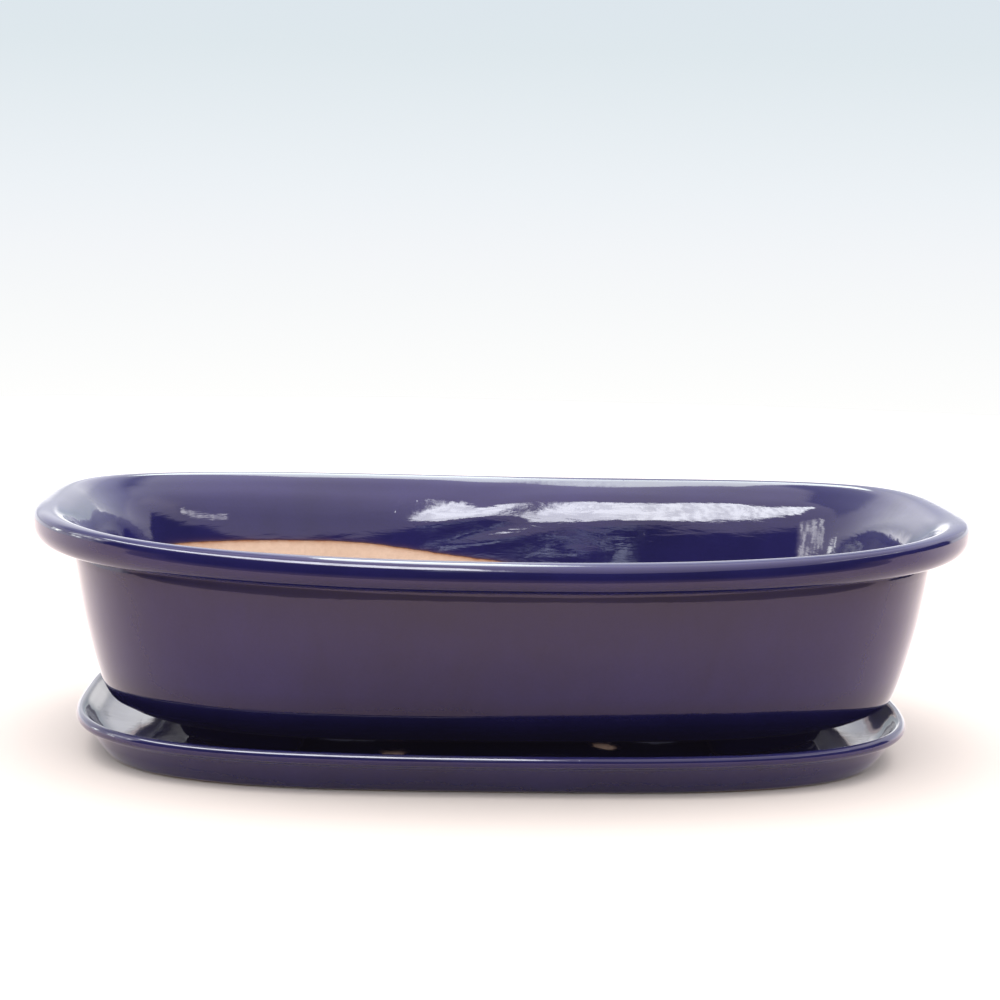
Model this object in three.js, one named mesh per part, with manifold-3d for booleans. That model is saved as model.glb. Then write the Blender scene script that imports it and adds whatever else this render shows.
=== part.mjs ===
// Oval glazed bonsai pot with its matching drip tray.
// Millimetres, +Z up, long side along X, front towards -Y.
// The origin is on the surface the tray stands on, under the middle of the pot.
import * as THREE from 'three';
import { mergeVertices } from 'three/addons/utils/BufferGeometryUtils.js';
import Module from 'manifold-3d';

// ---------- driving dimensions ----------
// pot
const POT_HALF_LENGTH = 184;      // outermost edge of the lip, along X
const POT_HALF_WIDTH = 137;       // outermost edge of the lip, along Y
const LIP_EXPONENT = 2.72;        // plan of the lip: superellipse exponent
const CREST_EXPONENT = 2.95;      // plan of the crest of the lip
const WALL_EXPONENT = 3.2;        // plan of the wall, squarer than the lip
const RIM_HEIGHT = 94.3;          // crest of the lip at the two ends
const RIM_SAG = 4.9;              // how far the crest dips at the middle of the long sides
const POT_UNDERSIDE = 15.6;       // flat underside of the pot
const POT_FLOOR = 23.0;           // inside floor of the pot
const DRAIN_HOLE_DIAMETER = 26;
const DRAIN_HOLE_X = 62;          // two of them, on the long centre line
const WIRE_HOLE_DIAMETER = 9;
const WIRE_HOLE_X = 42;           // four of them
const WIRE_HOLE_Y = 25;

// feet, four, following the oval at its corners
const FOOT_TOP = 15.3;            // 0.3 under the underside of the pot
const FOOT_BOTTOM = 6.8;          // 0.3 over the floor of the tray
const FOOT_TOP_OUTER = [139, 91];
const FOOT_TOP_INNER = [113, 65];
const FOOT_BOTTOM_OUTER = [132.5, 84.5];
const FOOT_BOTTOM_INNER = [116, 68];
const FOOT_TOP_ANGLES = [20, 64];      // degrees of the outline parameter
const FOOT_BOTTOM_ANGLES = [24, 59];

// tray
const TRAY_CREST_HALF_LENGTH = 162.6;
const TRAY_CREST_HALF_WIDTH = 118.7;
const TRAY_EXPONENT = 3.15;
const TRAY_HEIGHT = 15.6;
const TRAY_FLOOR = 6.5;
const TRAY_BASE_INSET = 14.2;     // flat base, inside the crest line
const TRAY_OFFSET_X = -2.7;       // the pot does not stand quite central in its tray
const TRAY_TURN = -1.5;           // degrees about Z

// facets
const POT_SEGMENTS = 96;
const TRAY_SEGMENTS = 88;

const wasm = await Module();
wasm.setup();

// ---------- helpers ----------
const spow = (v, p) => Math.sign(v) * Math.pow(Math.abs(v), p);

// point of a superellipse, with its parameter spread so that the corners get enough facets
function ovalPoint(a, b, n, t) {
  return [a * spow(Math.cos(t), 2 / n), b * spow(Math.sin(t), 2 / n)];
}

function clean(geometry) {
  geometry.deleteAttribute('normal');
  geometry.deleteAttribute('uv');
  const g = mergeVertices(geometry, 1e-3);
  const pos = g.getAttribute('position');
  const idx = g.getIndex().array;
  const keep = [];
  for (let i = 0; i < idx.length; i += 3) {
    const [a, b, c] = [idx[i], idx[i + 1], idx[i + 2]];
    if (a !== b && b !== c && c !== a) keep.push(a, b, c);
  }
  const out = new THREE.BufferGeometry();
  out.setAttribute('position', new THREE.BufferAttribute(new Float32Array(pos.array), 3));
  out.setIndex(keep);
  return out;
}

function toSolid(geometry) {
  const g = clean(geometry);
  return new wasm.Manifold(new wasm.Mesh({
    numProp: 3,
    vertProperties: new Float32Array(g.getAttribute('position').array),
    triVerts: new Uint32Array(g.getIndex().array),
  }));
}

function toGeometry(solid) {
  const m = solid.getMesh();
  const g = new THREE.BufferGeometry();
  const src = m.vertProperties;
  const p = new Float32Array((src.length / m.numProp) * 3);
  for (let i = 0; i < p.length / 3; i++) for (let k = 0; k < 3; k++) p[3 * i + k] = src[m.numProp * i + k];
  g.setAttribute('position', new THREE.BufferAttribute(p, 3));
  g.setIndex(new THREE.BufferAttribute(new Uint32Array(m.triVerts), 1));
  return g;
}

// A closed section turned about Z and then laid onto an oval plan.
// Each ring: { a, b, n, z, sag }, first and last with a = b = 0.
function ovalTurned(rings, segments) {
  const section = rings.map((r, i) => new THREE.Vector2(r.a === 0 ? 0 : 1, i));
  const g = new THREE.LatheGeometry(section, segments);
  const pos = g.getAttribute('position');
  const perSegment = rings.length;
  for (let v = 0; v < pos.count; v++) {
    const i = v % perSegment;
    const s = Math.floor(v / perSegment) % segments;
    const t = (s / segments) * Math.PI * 2;
    const r = rings[i];
    const [x, y] = r.a === 0 ? [0, 0] : ovalPoint(r.a, r.b, r.n, t);
    const u = r.a === 0 ? 0 : x / r.a;
    pos.setXYZ(v, x, y, r.z - (r.sag ?? 0) * (1 - u * u));
  }
  return g;
}

// make sure the faces of a turned oval point outwards
function oriented(geometry) {
  const g = clean(geometry);
  const p = g.getAttribute('position');
  const idx = Array.from(g.getIndex().array);
  let volume = 0;
  const a = new THREE.Vector3(), b = new THREE.Vector3(), c = new THREE.Vector3();
  for (let i = 0; i < idx.length; i += 3) {
    a.fromBufferAttribute(p, idx[i]); b.fromBufferAttribute(p, idx[i + 1]); c.fromBufferAttribute(p, idx[i + 2]);
    volume += a.dot(b.cross(c));
  }
  if (volume < 0) for (let i = 0; i < idx.length; i += 3) [idx[i + 1], idx[i + 2]] = [idx[i + 2], idx[i + 1]];
  g.setIndex(idx);
  return g;
}

function drill(x, y, diameter, z0, z1, sides) {
  const g = new THREE.CylinderGeometry(diameter / 2, diameter / 2, z1 - z0, sides);
  g.rotateX(Math.PI / 2);
  g.translate(x, y, (z0 + z1) / 2);
  return toSolid(g);
}

// ---------- materials ----------
const cobaltGlaze = new THREE.MeshStandardMaterial({ name: 'cobalt_glaze', color: 0x1b1a4a, roughness: 0.1, metalness: 0 });
const trayGlaze = new THREE.MeshStandardMaterial({ name: 'tray_glaze', color: 0x20215a, roughness: 0.12, metalness: 0 });

const object = new THREE.Group();
object.name = 'bonsai_pot_with_tray';

// ---------- pot body ----------
// Section, from the middle of the underside, out and up the wall, round the rolled lip,
// down the inside and back to the middle of the floor. inset = distance inside the lip's outermost edge.
const potSection = [
  // inset, z
  ['axis', POT_UNDERSIDE], [90, POT_UNDERSIDE], [44.5, POT_UNDERSIDE],
  [39.5, 17.4], [35.2, 20.2], [31.8, 24.0], [29.2, 29.0], [26.6, 36.0],
  [24.4, 44.0], [22.3, 54.0], [20.4, 65.0], [19.0, 75.0], [17.6, 80.2],
  [13.5, 82.4], [8.5, 82.9], [4.2, 83.4], [1.3, 85.2], [0.0, 88.4], [0.9, 91.6], [3.0, 93.6],
  [6.0, 94.3],
  [9.6, 93.4], [14.4, 90.6], [19.2, 86.6], [23.2, 81.4], [25.6, 75.0], [27.2, 66.0],
  [29.0, 56.0], [31.4, 46.0], [35.0, 36.0], [39.6, 29.2], [46.5, 24.9], [56.0, POT_FLOOR],
  [95, POT_FLOOR], ['axis', POT_FLOOR],
];
const smooth = (e0, e1, v) => { const s = Math.min(1, Math.max(0, (v - e0) / (e1 - e0))); return s * s * (3 - 2 * s); };
const potRings = potSection.map(([inset, z]) => {
  if (inset === 'axis') return { a: 0, b: 0, n: 2, z };
  // the plan grows squarer from the lip to the wall
  let n = WALL_EXPONENT;
  if (z > 82 || inset < 14) n = LIP_EXPONENT + (CREST_EXPONENT - LIP_EXPONENT) * Math.min(1, inset / 6);
  return {
    a: POT_HALF_LENGTH - inset,
    b: POT_HALF_WIDTH - inset,
    n,
    z,
    sag: RIM_SAG * smooth(20, RIM_HEIGHT, z),
  };
});
let pot = toSolid(oriented(ovalTurned(potRings, POT_SEGMENTS)));
for (const s of [-1, 1]) {
  pot = pot.subtract(drill(s * DRAIN_HOLE_X, 0, DRAIN_HOLE_DIAMETER, 5, 35, 28));
  for (const q of [-1, 1]) pot = pot.subtract(drill(s * WIRE_HOLE_X, q * WIRE_HOLE_Y, WIRE_HOLE_DIAMETER, 5, 35, 16));
}
const potBody = new THREE.Mesh(toGeometry(pot), cobaltGlaze);
potBody.name = 'pot_body';
object.add(potBody);

// ---------- feet ----------
// A block bent along the corner of the oval: u runs along the outline, v from outside to inside, w from bottom to top.
const FOOT_STEPS = 12;
function footGeometry(sx, sy) {
  const g = new THREE.BoxGeometry(1, 1, 1, FOOT_STEPS, 2, 2);
  const pos = g.getAttribute('position');
  for (let i = 0; i < pos.count; i++) {
    const u = pos.getX(i) + 0.5, v = pos.getY(i) + 0.5, w = pos.getZ(i) + 0.5;
    const lerp = (p, q, k) => p + (q - p) * k;
    const t0 = lerp(FOOT_BOTTOM_ANGLES[0], FOOT_TOP_ANGLES[0], w);
    const t1 = lerp(FOOT_BOTTOM_ANGLES[1], FOOT_TOP_ANGLES[1], w);
    const t = THREE.MathUtils.degToRad(lerp(t0, t1, u));
    const a = lerp(lerp(FOOT_BOTTOM_INNER[0], FOOT_BOTTOM_OUTER[0], 1 - v), lerp(FOOT_TOP_INNER[0], FOOT_TOP_OUTER[0], 1 - v), w);
    const b = lerp(lerp(FOOT_BOTTOM_INNER[1], FOOT_BOTTOM_OUTER[1], 1 - v), lerp(FOOT_TOP_INNER[1], FOOT_TOP_OUTER[1], 1 - v), w);
    const [x, y] = ovalPoint(a, b, WALL_EXPONENT, t);
    pos.setXYZ(i, sx * x, sy * y, lerp(FOOT_BOTTOM, FOOT_TOP, w));
  }
  return oriented(g);
}
for (const [name, sx, sy] of [
  ['pot_foot_front_left', -1, -1], ['pot_foot_front_right', 1, -1],
  ['pot_foot_back_left', -1, 1], ['pot_foot_back_right', 1, 1],
]) {
  const foot = new THREE.Mesh(footGeometry(sx, sy), cobaltGlaze);
  foot.name = name;
  object.add(foot);
}

// ---------- drip tray ----------
const traySection = [
  // distance inside the crest line (negative is outside it), z
  ['axis', 0], [60, 0], [TRAY_BASE_INSET, 0],
  [11.2, 0.9], [8.8, 3.0], [6.2, 6.6], [3.6, 9.6], [1.2, 11.0], [-0.8, 11.9], [-1.7, 13.4], [-1.2, 14.9],
  [0.2, TRAY_HEIGHT],
  [1.8, 14.9], [4.2, 12.4], [7.2, 9.6], [11.2, 7.4], [17.0, TRAY_FLOOR],
  [70, TRAY_FLOOR], ['axis', TRAY_FLOOR],
];
const trayRings = traySection.map(([inset, z]) => (inset === 'axis'
  ? { a: 0, b: 0, n: 2, z }
  : { a: TRAY_CREST_HALF_LENGTH - inset, b: TRAY_CREST_HALF_WIDTH - inset, n: TRAY_EXPONENT, z }));
const tray = new THREE.Mesh(oriented(ovalTurned(trayRings, TRAY_SEGMENTS)), trayGlaze);
tray.name = 'tray';
tray.position.set(TRAY_OFFSET_X, 0, 0);
tray.rotation.z = THREE.MathUtils.degToRad(TRAY_TURN);
object.add(tray);

export default object;
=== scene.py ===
import math

import bmesh
import bpy
import numpy as np
from mathutils import Matrix, Vector, noise


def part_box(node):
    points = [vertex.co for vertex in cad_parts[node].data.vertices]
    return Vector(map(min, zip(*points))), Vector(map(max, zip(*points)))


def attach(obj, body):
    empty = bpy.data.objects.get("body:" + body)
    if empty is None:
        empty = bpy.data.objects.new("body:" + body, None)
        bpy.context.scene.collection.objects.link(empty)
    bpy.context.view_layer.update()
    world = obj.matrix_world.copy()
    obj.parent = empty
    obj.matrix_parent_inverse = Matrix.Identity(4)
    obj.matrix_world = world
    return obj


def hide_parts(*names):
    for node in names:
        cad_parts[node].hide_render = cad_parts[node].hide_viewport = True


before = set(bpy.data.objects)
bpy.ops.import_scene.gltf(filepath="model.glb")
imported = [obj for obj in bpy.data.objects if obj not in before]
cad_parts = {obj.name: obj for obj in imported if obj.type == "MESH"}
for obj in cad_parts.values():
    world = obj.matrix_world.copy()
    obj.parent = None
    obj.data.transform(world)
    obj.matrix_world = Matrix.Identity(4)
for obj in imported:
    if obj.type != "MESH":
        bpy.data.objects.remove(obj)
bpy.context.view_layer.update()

MM = 0.001

# ------------------------------------------------------------------ sizes, from the frame
pot_lo, pot_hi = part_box("pot_body")
tray_lo, tray_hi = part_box("tray")
foot_lo, foot_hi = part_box("pot_foot_front_left")
POT_A = (pot_hi.x - pot_lo.x) / 2 / MM          # half length of the lip, mm
POT_B = (pot_hi.y - pot_lo.y) / 2 / MM          # half width of the lip, mm
RIM_Z = pot_hi.z / MM                           # crest of the lip at the ends
UNDER_Z = pot_lo.z / MM                         # underside of the pot
FLOOR_Z = UNDER_Z + 7.4                         # inside floor of the pot
TRAY_TOP = tray_hi.z / MM
TRAY_FLOOR = 6.5
TRAY_CX = (tray_hi.x + tray_lo.x) / 2 / MM
TRAY_CY = (tray_hi.y + tray_lo.y) / 2 / MM
TRAY_YAW = math.radians(-1.5)
TRAY_A, TRAY_B = 162.0, 118.1                   # crest line of the tray
SAG = 4.9
DRAINS = [(-62.0, 0.0, 13.0), (62.0, 0.0, 13.0)]
WIRES = [(sx * 42.0, sy * 25.0, 4.5) for sx in (-1, 1) for sy in (-1, 1)]

# ------------------------------------------------------------------ maths helpers


def smooth(e0, e1, v):
    s = np.clip((np.asarray(v, float) - e0) / (e1 - e0), 0, 1)
    return s * s * (3 - 2 * s)


def spow(v, p):
    return np.sign(v) * np.abs(v) ** p


def even_angles(n, a, b, expo):
    """Outline parameters that space n points evenly along a superellipse."""
    t = np.linspace(0, 2 * math.pi, 40001)
    x, y = a * spow(np.cos(t), 2 / expo), b * spow(np.sin(t), 2 / expo)
    s = np.concatenate([[0], np.cumsum(np.hypot(np.diff(x), np.diff(y)))])
    return np.interp(np.arange(n) / n * s[-1], s, t)


class Section:
    """A smooth curve through control points (inset, z, exponent, ...), with a coordinate s in mm along it."""

    def __init__(self, points, step=0.2):
        p = np.array(points, float)
        d = np.hypot(np.diff(p[:, 0]), np.diff(p[:, 1]))
        u = np.concatenate([[0], np.cumsum(np.sqrt(d))])        # centripetal
        fine = []
        # Catmull-Rom tangents, non-uniform
        m = np.zeros_like(p)
        for i in range(len(p)):
            if i == 0:
                m[i] = (p[1] - p[0]) / (u[1] - u[0])
            elif i == len(p) - 1:
                m[i] = (p[-1] - p[-2]) / (u[-1] - u[-2])
            else:
                a, b = u[i] - u[i - 1], u[i + 1] - u[i]
                m[i] = ((p[i] - p[i - 1]) / a * b + (p[i + 1] - p[i]) / b * a) / (a + b)
        for i in range(len(p) - 1):
            h = u[i + 1] - u[i]
            k = max(6, int(d[i] / step))
            t = np.linspace(0, 1, k, endpoint=False)[:, None]
            fine.append(
                (2 * t**3 - 3 * t**2 + 1) * p[i]
                + (t**3 - 2 * t**2 + t) * h * m[i]
                + (-2 * t**3 + 3 * t**2) * p[i + 1]
                + (t**3 - t**2) * h * m[i + 1]
            )
        self.p = np.vstack(fine + [p[-1:]])
        self.s = np.concatenate([[0], np.cumsum(np.hypot(np.diff(self.p[:, 0]), np.diff(self.p[:, 1])))])
        self.length = self.s[-1]

    def at(self, s):
        return [np.interp(s, self.s, self.p[:, k]) for k in range(self.p.shape[1])]

    def s_of(self, k, value, lo=None, hi=None):
        """s where column k is nearest value, between s = lo and hi."""
        m = np.ones(len(self.s), bool)
        if lo is not None:
            m &= self.s >= lo
        if hi is not None:
            m &= self.s <= hi
        i = np.where(m)[0]
        return self.s[i[np.argmin(np.abs(self.p[i, k] - value))]]


def noise_field(points, scale, seed, octaves=2):
    """Smooth noise, about -1 to 1, at points in mm."""
    out = np.empty(len(points))
    off = Vector((seed * 17.13, seed * 5.71, seed * 9.37))
    for i, p in enumerate(points):
        v = Vector((p[0] / scale, p[1] / scale, p[2] / scale)) + off
        a, w, tot = 0.0, 1.0, 0.0
        for _ in range(octaves):
            a += w * noise.noise(v)
            tot += w
            v = v * 2.03
            w *= 0.5
        out[i] = a / tot
    return out * 1.6


def grid_normals(P, closed_u=True):
    """Unit normals of a grid P[rows, columns, 3], columns running round and closing."""
    du = np.roll(P, -1, axis=1) - np.roll(P, 1, axis=1)
    dv = np.gradient(P, axis=0)
    n = np.cross(du, dv)
    n /= np.maximum(np.linalg.norm(n, axis=2, keepdims=True), 1e-12)
    return n


def new_object(name, verts, faces, material_list, smooth_shade=True):
    me = bpy.data.meshes.new(name)
    me.from_pydata([tuple(v) for v in verts], [], faces)
    me.validate()
    me.update()
    ob = bpy.data.objects.new(name, me)
    bpy.context.scene.collection.objects.link(ob)
    for m in material_list:
        me.materials.append(m)
    me.polygons.foreach_set("use_smooth", [smooth_shade] * len(me.polygons))
    return ob


def ring_faces(r0, r1, n):
    """Quads between two rings, given their first vertex numbers."""
    return [(r0 + i, r0 + (i + 1) % n, r1 + (i + 1) % n, r1 + i) for i in range(n)]


def fill_plane(bm, loops, z_up):
    """Triangles over a flat region bounded by loops of bmesh vertices."""
    edges = []
    for loop in loops:
        for i in range(len(loop)):
            a, b = loop[i], loop[(i + 1) % len(loop)]
            e = bm.edges.get((a, b)) or bm.edges.new((a, b))
            edges.append(e)
    made = bmesh.ops.triangle_fill(bm, use_beauty=True, use_dissolve=False, edges=edges)
    faces = [g for g in made["geom"] if isinstance(g, bmesh.types.BMFace)]
    for f in faces:
        f.normal_update()
        if (f.normal.z > 0) != z_up:
            f.normal_flip()
    return faces


# ------------------------------------------------------------------ materials


def nodes_of(name):
    m = bpy.data.materials.new(name)
    m.use_nodes = True
    nt = m.node_tree
    nt.nodes.clear()
    out = nt.nodes.new("ShaderNodeOutputMaterial")
    bsdf = nt.nodes.new("ShaderNodeBsdfPrincipled")
    nt.links.new(bsdf.outputs[0], out.inputs[0])
    return m, nt, bsdf


def mapping(nt, scale=(1, 1, 1), loc=(0, 0, 0)):
    tc = nt.nodes.new("ShaderNodeTexCoord")
    mp = nt.nodes.new("ShaderNodeMapping")
    mp.inputs["Scale"].default_value = scale
    mp.inputs["Location"].default_value = loc
    nt.links.new(tc.outputs["Object"], mp.inputs["Vector"])
    return mp


def noise_node(nt, vec, scale, detail=3, rough=0.5, dist=0.0):
    n = nt.nodes.new("ShaderNodeTexNoise")
    n.inputs["Scale"].default_value = scale
    n.inputs["Detail"].default_value = detail
    n.inputs["Roughness"].default_value = rough
    n.inputs["Distortion"].default_value = dist
    nt.links.new(vec.outputs[0], n.inputs["Vector"])
    return n


def ramp_node(nt, fac, stops):
    r = nt.nodes.new("ShaderNodeValToRGB")
    cr = r.color_ramp
    while len(cr.elements) > 1:
        cr.elements.remove(cr.elements[-1])
    cr.elements[0].position = stops[0][0]
    cr.elements[0].color = (*stops[0][1], 1)
    for p, c in stops[1:]:
        e = cr.elements.new(p)
        e.color = (*c, 1)
    nt.links.new(fac, r.inputs[0])
    return r


def mix_rgb(nt, kind, fac, a, b):
    m = nt.nodes.new("ShaderNodeMix")
    m.data_type = "RGBA"
    m.blend_type = kind
    for sock, val in ((m.inputs[0], fac), (m.inputs[6], a), (m.inputs[7], b)):
        if isinstance(val, (int, float)):
            sock.default_value = val
        elif isinstance(val, tuple):
            sock.default_value = (*val, 1)
        else:
            nt.links.new(val, sock)
    return m.outputs[2]


def math_node(nt, op, a, b=None, clamp=False):
    m = nt.nodes.new("ShaderNodeMath")
    m.operation = op
    m.use_clamp = clamp
    for sock, val in ((m.inputs[0], a), (m.inputs[1], b)):
        if val is None:
            continue
        if isinstance(val, (int, float)):
            sock.default_value = val
        else:
            nt.links.new(val, sock)
    return m.outputs[0]


def map_range(nt, v, a, b, c, d):
    m = nt.nodes.new("ShaderNodeMapRange")
    nt.links.new(v, m.inputs[0])
    for i, x in enumerate((a, b, c, d)):
        m.inputs[i + 1].default_value = x
    return m.outputs[0]


def bump(nt, height, strength, distance, normal=None):
    b = nt.nodes.new("ShaderNodeBump")
    b.inputs["Strength"].default_value = strength
    b.inputs["Distance"].default_value = distance
    nt.links.new(height, b.inputs["Height"])
    if normal is not None:
        nt.links.new(normal, b.inputs["Normal"])
    return b.outputs[0]


def glaze_material(name, deep, mid, thin, rough=0.045, painted_shade_z=None):
    """Cobalt gloss glaze: deep blue colour with slow mottling, fine pigment grain, a few pinholes, thinner
    and browner where it pulls back from an edge (vertex value 'thin'), and a faint orange-peel skin; optionally,
    painted shade at the foot of the wall."""
    m, nt, bsdf = nodes_of(name)
    mp = mapping(nt)
    slow = noise_node(nt, mp, 17.0, 3, 0.55, 0.35)
    streak_mp = mapping(nt, (1.0, 1.0, 0.35), (0.3, 0.1, 0.7))
    streak = noise_node(nt, streak_mp, 55.0, 4, 0.6, 0.6)
    grain = noise_node(nt, mp, 900.0, 2, 0.6)
    col = ramp_node(nt, slow.outputs[0], [(0.30, deep), (0.55, mid), (0.75, tuple(c * 1.10 for c in mid))])
    col2 = ramp_node(nt, streak.outputs[0], [(0.30, (0.80, 0.80, 0.84)), (0.55, (1.0, 1.0, 1.0)), (0.78, (1.14, 1.06, 1.10))])
    c = mix_rgb(nt, "MULTIPLY", 0.75, col.outputs[0], col2.outputs[0])
    g = ramp_node(nt, grain.outputs[0], [(0.30, (0.86, 0.86, 0.90)), (0.62, (1.06, 1.04, 1.06))])
    c = mix_rgb(nt, "MULTIPLY", 0.6, c, g.outputs[0])
    at = nt.nodes.new("ShaderNodeAttribute")
    at.attribute_name = "thin"
    wob = noise_node(nt, mp, 140.0, 3, 0.6)
    thin_f = math_node(nt, "MULTIPLY", at.outputs["Fac"], map_range(nt, wob.outputs[0], 0.3, 0.7, 0.55, 1.15), clamp=True)
    c = mix_rgb(nt, "MIX", thin_f, c, thin)
    if painted_shade_z:
        # painted shade: the glaze colour is darkened toward the foot of the wall, where the pot lies in shade
        tc = nt.nodes.new("ShaderNodeTexCoord")
        sep = nt.nodes.new("ShaderNodeSeparateXYZ")
        nt.links.new(tc.outputs["Object"], sep.inputs[0])
        low = map_range(nt, sep.outputs[2], painted_shade_z[0], painted_shade_z[1], 0.0, 1.0)
        shade = ramp_node(nt, low, [(0.0, (0.45, 0.45, 0.38)), (1.0, (1.0, 1.0, 1.0))])
        c = mix_rgb(nt, "MULTIPLY", 1.0, c, shade.outputs[0])
    nt.links.new(c, bsdf.inputs["Base Color"])
    # painted light: a faint violet glow over the whole glaze lifts its darkest shade
    bsdf.inputs["Emission Color"].default_value = (0.80, 0.66, 1.0, 1.0)
    bsdf.inputs["Emission Strength"].default_value = 0.0042
    # gloss: nearly a mirror, a little softer in slow patches
    r = map_range(nt, slow.outputs[0], 0.3, 0.7, rough * 0.85, rough * 1.35)
    nt.links.new(r, bsdf.inputs["Roughness"])
    bsdf.inputs["IOR"].default_value = 1.52
    bsdf.inputs["Specular Tint"].default_value = (1.0, 0.87, 1.0, 1.0)
    # skin of the glaze
    peel = noise_node(nt, mp, 330.0, 2, 0.5)
    ripple = noise_node(nt, mp, 75.0, 2, 0.5, 0.4)
    pin = nt.nodes.new("ShaderNodeTexVoronoi")
    pin.inputs["Scale"].default_value = 95.0
    nt.links.new(mp.outputs[0], pin.inputs["Vector"])
    pit = map_range(nt, pin.outputs["Distance"], 0.0, 0.055, 0.0, 1.0)
    brush_mp = mapping(nt, (1.0, 1.0, 5.5), (0.2, 0.4, 0.1))
    brush = noise_node(nt, brush_mp, 62.0, 3, 0.55, 0.5)
    inside_at = nt.nodes.new("ShaderNodeAttribute")
    inside_at.attribute_name = "inside"
    n0 = nt.nodes.new("ShaderNodeBump")
    n0.inputs["Distance"].default_value = 0.00007
    nt.links.new(inside_at.outputs["Fac"], n0.inputs["Strength"])
    nt.links.new(brush.outputs[0], n0.inputs["Height"])
    n1 = bump(nt, ripple.outputs[0], 0.10, 0.0004, n0.outputs[0])
    n2 = bump(nt, peel.outputs[0], 0.10, 0.00010, n1)
    n3 = bump(nt, pit, 0.25, 0.00012, n2)
    nt.links.new(n3, bsdf.inputs["Normal"])
    return m


def clay_material(name, base, dark, stain, underside_shade_z=None):
    """Bare fired clay: matt, sandy, with fine grog, faint scraping marks and an iron-stained border at the glaze."""
    m, nt, bsdf = nodes_of(name)
    mp = mapping(nt)
    slow = noise_node(nt, mp, 22.0, 4, 0.6, 0.5)
    fine = noise_node(nt, mp, 420.0, 4, 0.65)
    grog = nt.nodes.new("ShaderNodeTexVoronoi")
    grog.inputs["Scale"].default_value = 620.0
    nt.links.new(mp.outputs[0], grog.inputs["Vector"])
    col = ramp_node(nt, slow.outputs[0], [(0.28, dark), (0.50, base), (0.75, tuple(min(1, c * 1.05) for c in base))])
    f = ramp_node(nt, fine.outputs[0], [(0.30, (0.90, 0.87, 0.85)), (0.65, (1.03, 1.02, 1.01))])
    c = mix_rgb(nt, "MULTIPLY", 0.8, col.outputs[0], f.outputs[0])
    sp = map_range(nt, grog.outputs["Distance"], 0.05, 0.16, 1.0, 0.0)
    pick = nt.nodes.new("ShaderNodeSeparateColor")
    nt.links.new(grog.outputs["Color"], pick.inputs[0])
    spk = math_node(nt, "MULTIPLY", sp, map_range(nt, pick.outputs[0], 0.80, 0.92, 0.0, 0.55))
    c = mix_rgb(nt, "MIX", spk, c, tuple(x * 0.55 for x in base))
    at = nt.nodes.new("ShaderNodeAttribute")
    at.attribute_name = "stain"
    wob = noise_node(nt, mp, 160.0, 3, 0.6)
    st = math_node(nt, "MULTIPLY", at.outputs["Fac"], map_range(nt, wob.outputs[0], 0.3, 0.7, 0.5, 1.2), clamp=True)
    c = mix_rgb(nt, "MIX", st, c, stain)
    if underside_shade_z:
        # painted shade: the underside, in shade under the pot, is painted near-black, stopping short of the wire holes
        tc = nt.nodes.new("ShaderNodeTexCoord")
        sep = nt.nodes.new("ShaderNodeSeparateXYZ")
        nt.links.new(tc.outputs["Object"], sep.inputs[0])
        dx = math_node(nt, "SUBTRACT", math_node(nt, "ABSOLUTE", sep.outputs[0]), 0.042)
        dy = math_node(nt, "SUBTRACT", math_node(nt, "ABSOLUTE", sep.outputs[1]), 0.025)
        r = math_node(nt, "SQRT", math_node(nt, "ADD", math_node(nt, "MULTIPLY", dx, dx), math_node(nt, "MULTIPLY", dy, dy)))
        rr = math_node(nt, "ADD", r, map_range(nt, wob.outputs[0], 0.3, 0.7, -0.0006, 0.0006))
        away = map_range(nt, rr, 0.0062, 0.0070, 0.0, 1.0)
        below = map_range(nt, sep.outputs[2], underside_shade_z + 0.0070, underside_shade_z + 0.0074, 1.0, 0.0)
        c = mix_rgb(nt, "MIX", math_node(nt, "MULTIPLY", away, below, clamp=True), c, (0.012, 0.010, 0.035))
    nt.links.new(c, bsdf.inputs["Base Color"])
    bsdf.inputs["Roughness"].default_value = 0.86
    nt.links.new(map_range(nt, fine.outputs[0], 0.3, 0.7, 0.80, 0.94), bsdf.inputs["Roughness"])
    bsdf.inputs["IOR"].default_value = 1.45
    bsdf.inputs["Specular IOR Level"].default_value = 0.35
    scrape_mp = mapping(nt, (1.0, 1.0, 7.0))
    scrape = noise_node(nt, scrape_mp, 60.0, 3, 0.6, 0.3)
    n1 = bump(nt, scrape.outputs[0], 0.22, 0.0006)
    n2 = bump(nt, fine.outputs[0], 0.35, 0.0003, n1)
    nt.links.new(n2, bsdf.inputs["Normal"])
    return m


# painted shade: the pot's glaze is darkest up to z 24 mm, fading out by 36 mm
POT_GLAZE = glaze_material("pot_glaze", (0.0064, 0.0060, 0.044), (0.0090, 0.0081, 0.060), (0.060, 0.030, 0.055), painted_shade_z=(0.024, 0.036))
TRAY_GLAZE = glaze_material("tray_glaze", (0.0080, 0.0078, 0.046), (0.0110, 0.0105, 0.062), (0.060, 0.030, 0.045))
CLAY_TONES = (0.565, 0.425, 0.338), (0.515, 0.375, 0.287), (0.30, 0.13, 0.06)
CLAY = clay_material("bare_clay", *CLAY_TONES)
# painted shade: the pot's underside clay is painted near-black
POT_CLAY = clay_material("bare_clay_pot", *CLAY_TONES, underside_shade_z=UNDER_Z * MM)


def set_float(ob, name, values):
    a = ob.data.attributes.new(name, "FLOAT", "POINT")
    a.data.foreach_set("value", np.asarray(values, np.float32))


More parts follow.
